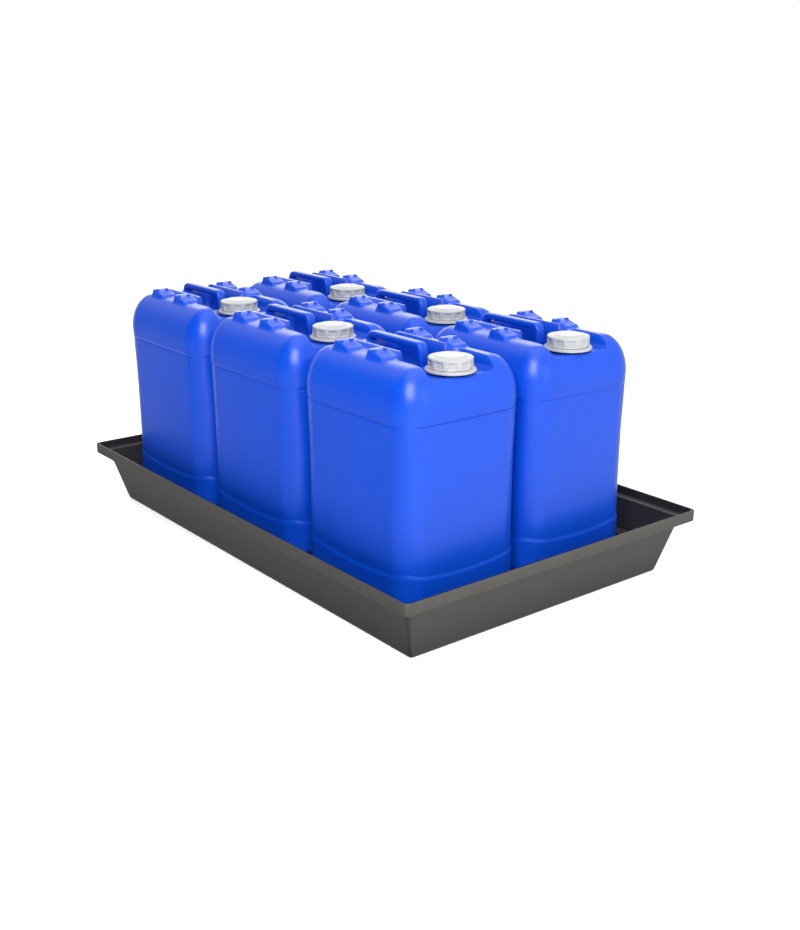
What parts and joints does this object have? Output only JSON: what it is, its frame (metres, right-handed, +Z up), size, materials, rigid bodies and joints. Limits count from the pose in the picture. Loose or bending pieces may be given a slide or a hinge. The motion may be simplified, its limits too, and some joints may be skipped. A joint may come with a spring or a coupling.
{
  "type": "spill containment pallet",
  "caption": "Low rectangular spill tray with sloping walls, a ledged rim and a lift-out grating, loaded with blue jerrycans that have white screw caps.",
  "frame": {"origin": "centre of the tray's underside, on the floor", "axes": "+Z up, X along the tray's long side, Y along its short side; the cans' caps face +X"},
  "size_m": [1.0506, 0.6606, 0.455],
  "materials": {
    "black_polyethylene": "matte moulded, fine grain",
    "blue_polyethylene": "satin blow-moulded",
    "white_polyethylene": "satin moulded, natural white",
    "liner_foam": "matte foam liner"
  },
  "bodies": {
    "tray": {"spill_tray": "black_polyethylene"},
    "grating": {"deck_grating": "black_polyethylene"},
    "can_1": {"can_1_body": "blue_polyethylene", "can_1_tamper_ring": "white_polyethylene"},
    "can_1_seal": {"can_1_gasket": "liner_foam"},
    "can_1_closure": {"can_1_cap": "white_polyethylene"},
    "can_2": {"can_2_body": "blue_polyethylene", "can_2_tamper_ring": "white_polyethylene"},
    "can_2_seal": {"can_2_gasket": "liner_foam"},
    "can_2_closure": {"can_2_cap": "white_polyethylene"},
    "can_3": {"can_3_body": "blue_polyethylene", "can_3_tamper_ring": "white_polyethylene"},
    "can_3_seal": {"can_3_gasket": "liner_foam"},
    "can_3_closure": {"can_3_cap": "white_polyethylene"},
    "can_4": {"can_4_body": "blue_polyethylene", "can_4_tamper_ring": "white_polyethylene"},
    "can_4_seal": {"can_4_gasket": "liner_foam"},
    "can_4_closure": {"can_4_cap": "white_polyethylene"},
    "can_5": {"can_5_body": "blue_polyethylene", "can_5_tamper_ring": "white_polyethylene"},
    "can_5_seal": {"can_5_gasket": "liner_foam"},
    "can_5_closure": {"can_5_cap": "white_polyethylene"},
    "can_6": {"can_6_body": "blue_polyethylene", "can_6_tamper_ring": "white_polyethylene"},
    "can_6_seal": {"can_6_gasket": "liner_foam"},
    "can_6_closure": {"can_6_cap": "white_polyethylene"}
  },
  "joints": [
    {"name": "grating_lift", "type": "slide", "parent": "tray", "child": "grating", "axis": [0, 0, 1], "range_m": [0, 0.15]},
    {"name": "can_1_lift", "type": "slide", "parent": "grating", "child": "can_1", "axis": [0, 0, 1], "range_m": [0, 0.12]},
    {"name": "can_1_cap_rise", "type": "slide", "parent": "can_1", "child": "can_1_seal", "axis": [0, 0, 1], "range_m": [0, 0.009]},
    {"name": "can_1_cap_turn", "type": "hinge", "parent": "can_1_seal", "child": "can_1_closure", "pos_m": [-0.212, -0.152, 0.435], "axis": [0, 0, 1], "range_deg": [0, 540]},
    {"name": "can_2_lift", "type": "slide", "parent": "grating", "child": "can_2", "axis": [0, 0, 1], "range_m": [0, 0.12]},
    {"name": "can_2_cap_rise", "type": "slide", "parent": "can_2", "child": "can_2_seal", "axis": [0, 0, 1], "range_m": [0, 0.009]},
    {"name": "can_2_cap_turn", "type": "hinge", "parent": "can_2_seal", "child": "can_2_closure", "pos_m": [0.099, -0.152, 0.435], "axis": [0, 0, 1], "range_deg": [0, 540]},
    {"name": "can_3_lift", "type": "slide", "parent": "grating", "child": "can_3", "axis": [0, 0, 1], "range_m": [0, 0.12]},
    {"name": "can_3_cap_rise", "type": "slide", "parent": "can_3", "child": "can_3_seal", "axis": [0, 0, 1], "range_m": [0, 0.009]},
    {"name": "can_3_cap_turn", "type": "hinge", "parent": "can_3_seal", "child": "can_3_closure", "pos_m": [0.41, -0.152, 0.435], "axis": [0, 0, 1], "range_deg": [0, 540]},
    {"name": "can_4_lift", "type": "slide", "parent": "grating", "child": "can_4", "axis": [0, 0, 1], "range_m": [0, 0.12]},
    {"name": "can_4_cap_rise", "type": "slide", "parent": "can_4", "child": "can_4_seal", "axis": [0, 0, 1], "range_m": [0, 0.009]},
    {"name": "can_4_cap_turn", "type": "hinge", "parent": "can_4_seal", "child": "can_4_closure", "pos_m": [-0.212, 0.104, 0.435], "axis": [0, 0, 1], "range_deg": [0, 540]},
    {"name": "can_5_lift", "type": "slide", "parent": "grating", "child": "can_5", "axis": [0, 0, 1], "range_m": [0, 0.12]},
    {"name": "can_5_cap_rise", "type": "slide", "parent": "can_5", "child": "can_5_seal", "axis": [0, 0, 1], "range_m": [0, 0.009]},
    {"name": "can_5_cap_turn", "type": "hinge", "parent": "can_5_seal", "child": "can_5_closure", "pos_m": [0.099, 0.104, 0.435], "axis": [0, 0, 1], "range_deg": [0, 540]},
    {"name": "can_6_lift", "type": "slide", "parent": "grating", "child": "can_6", "axis": [0, 0, 1], "range_m": [0, 0.12]},
    {"name": "can_6_cap_rise", "type": "slide", "parent": "can_6", "child": "can_6_seal", "axis": [0, 0, 1], "range_m": [0, 0.009]},
    {"name": "can_6_cap_turn", "type": "hinge", "parent": "can_6_seal", "child": "can_6_closure", "pos_m": [0.41, 0.104, 0.435], "axis": [0, 0, 1], "range_deg": [0, 540]}
  ],
  "couplings": [
    {"joint": "can_1_cap_rise", "follows": "can_1_cap_turn", "m_per_rad": 0.0009549},
    {"joint": "can_2_cap_rise", "follows": "can_2_cap_turn", "m_per_rad": 0.0009549},
    {"joint": "can_3_cap_rise", "follows": "can_3_cap_turn", "m_per_rad": 0.0009549},
    {"joint": "can_4_cap_rise", "follows": "can_4_cap_turn", "m_per_rad": 0.0009549},
    {"joint": "can_5_cap_rise", "follows": "can_5_cap_turn", "m_per_rad": 0.0009549},
    {"joint": "can_6_cap_rise", "follows": "can_6_cap_turn", "m_per_rad": 0.0009549}
  ]
}
